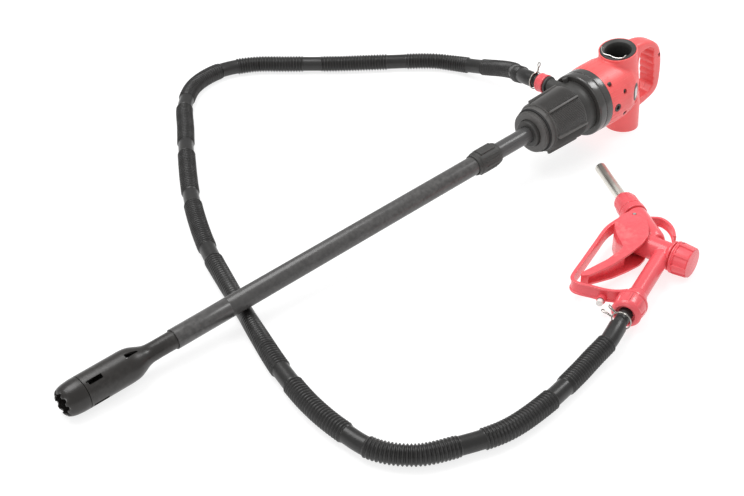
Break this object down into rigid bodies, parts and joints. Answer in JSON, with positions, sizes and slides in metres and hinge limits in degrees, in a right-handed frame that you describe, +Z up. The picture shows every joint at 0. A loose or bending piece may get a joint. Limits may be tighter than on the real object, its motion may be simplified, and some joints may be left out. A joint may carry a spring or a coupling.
{
  "type": "drum transfer pump",
  "caption": "Electric drum pump with a D-handle head, bung collar, telescoping suction tube, strainer, corrugated hose and trigger nozzle.",
  "frame": {"origin": "on the surface the pump lies on, under the middle of the box round the pump and nozzle, without the hose", "axes": "+X along the pump towards the D-handle, +Y towards the hose outlet side, +Z up"},
  "size_m": [1.0808, 0.9325, 0.1437],
  "materials": {
    "red_shell": "moulded red plastic with a soft satin surface",
    "red_nozzle": "moulded red plastic, slightly glossy",
    "black_plastic": "moulded black plastic, satin",
    "tube": "extruded dark grey plastic, satin",
    "hose": "corrugated black hose, satin",
    "rubber": "matte seal rubber",
    "steel": "bright drawn steel",
    "aluminium": "drawn tube, satin",
    "plate": "plain silver plate, blank",
    "copper": "wound copper and laminated core",
    "white_plastic": "natural white plastic"
  },
  "bodies": {
    "root": {"housing_near": "red_shell", "housing_far": "red_shell", "rating_plate": "plate", "housing_screw_1": "steel", "housing_screw_2": "steel", "housing_screw_3": "steel", "housing_screw_4": "steel", "power_socket": "black_plastic", "holster_sleeve": "black_plastic", "holster_wire_clip": "steel", "base_ring": "black_plastic", "motor_can": "steel", "motor_end_bell": "black_plastic", "motor_front_bearing": "steel", "motor_rear_bearing": "steel", "outlet_body": "black_plastic", "shaft_lip_seal": "rubber", "outlet_washer": "rubber", "outlet_hose_tail": "black_plastic", "pump_hose_clamp": "steel", "tube_gland": "black_plastic", "upper_tube": "tube", "upper_shaft_guide": "white_plastic", "transfer_hose": "hose", "nozzle_body": "red_nozzle", "spout_nut": "red_nozzle", "spout": "aluminium", "valve_cap": "red_nozzle", "valve_spring": "steel", "trigger_pin": "steel", "trigger_guard": "red_nozzle", "hanging_hook": "red_nozzle", "nozzle_hose_tail": "black_plastic", "nozzle_hose_clamp": "steel"},
    "power_switch": {"power_switch": "black_plastic"},
    "bung_collar": {"bung_collar": "black_plastic", "bung_gasket": "rubber"},
    "outlet_union": {"outlet_union_nut": "red_shell"},
    "nozzle_union": {"nozzle_union_nut": "red_nozzle"},
    "motor_rotor": {"motor_armature": "copper", "shaft_coupling": "steel", "upper_drive_shaft": "steel"},
    "lower_tube": {"lower_tube": "tube", "lock_collet": "white_plastic", "foot_shaft_bush": "white_plastic", "strainer_cage": "black_plastic", "strainer_rim": "black_plastic"},
    "lock_nut": {"tube_lock_nut": "black_plastic"},
    "foot_rotor": {"lower_drive_shaft": "steel", "impeller": "white_plastic"},
    "trigger": {"trigger_lever": "red_nozzle"},
    "valve": {"valve_stem": "steel"},
    "hold_open_pin": {"hold_open_pin": "white_plastic"}
  },
  "joints": [
    {"name": "tube_extend", "type": "slide", "parent": "root", "child": "lower_tube", "axis": [-0.9981, 0, -0.0612], "range_m": [-0.05, 0.3]},
    {"name": "lock_nut_turn", "type": "hinge", "parent": "lower_tube", "child": "lock_nut", "pos_m": [0.15775, 0.13633, 0.06294], "axis": [0.9981, 0, 0.0612], "range_deg": [0, 60]},
    {"name": "bung_collar_turn", "type": "hinge", "parent": "root", "child": "bung_collar", "pos_m": [0.30246, 0.13633, 0.07182], "axis": [0.9981, 0, 0.0612], "continuous": true},
    {"name": "outlet_union_turn", "type": "hinge", "parent": "root", "child": "outlet_union", "pos_m": [0.34035, 0.16433, 0.09778], "axis": [0.0061, 0.995, -0.0998], "continuous": true},
    {"name": "nozzle_union_turn", "type": "hinge", "parent": "root", "child": "nozzle_union", "pos_m": [0.09719, -0.18517, 0.0229], "axis": [-0.9417, -0.3363, 0], "continuous": true},
    {"name": "motor_spin", "type": "hinge", "parent": "root", "child": "motor_rotor", "pos_m": [0.45219, 0.13633, 0.081], "axis": [0.9981, 0, 0.0612], "continuous": true},
    {"name": "foot_spin", "type": "hinge", "parent": "lower_tube", "child": "foot_rotor", "pos_m": [0.45219, 0.13633, 0.081], "axis": [0.9981, 0, 0.0612], "continuous": true},
    {"name": "trigger_pull", "type": "hinge", "parent": "root", "child": "trigger", "pos_m": [0.22899, -0.07747, 0.0229], "axis": [0, 0, 1], "range_deg": [0, 11], "stiffness_Nm_per_rad": 1, "springref_deg": -5.73},
    {"name": "valve_lift", "type": "slide", "parent": "root", "child": "valve", "axis": [0.1799, -0.9837, 0], "range_m": [0, 0.0095]},
    {"name": "hold_open_push", "type": "slide", "parent": "root", "child": "hold_open_pin", "axis": [0.9191, 0.394, 0], "range_m": [0, 0.005], "stiffness_N_per_m": 150, "springref_m": -0.001},
    {"name": "switch_press", "type": "slide", "parent": "root", "child": "power_switch", "axis": [0, -1, 0], "range_m": [0, 0.002], "stiffness_N_per_m": 300, "springref_m": -0.001}
  ],
  "couplings": [
    {"joint": "foot_spin", "follows": "motor_spin", "ratio": 1},
    {"joint": "valve_lift", "follows": "trigger_pull", "m_per_rad": 0.045}
  ]
}
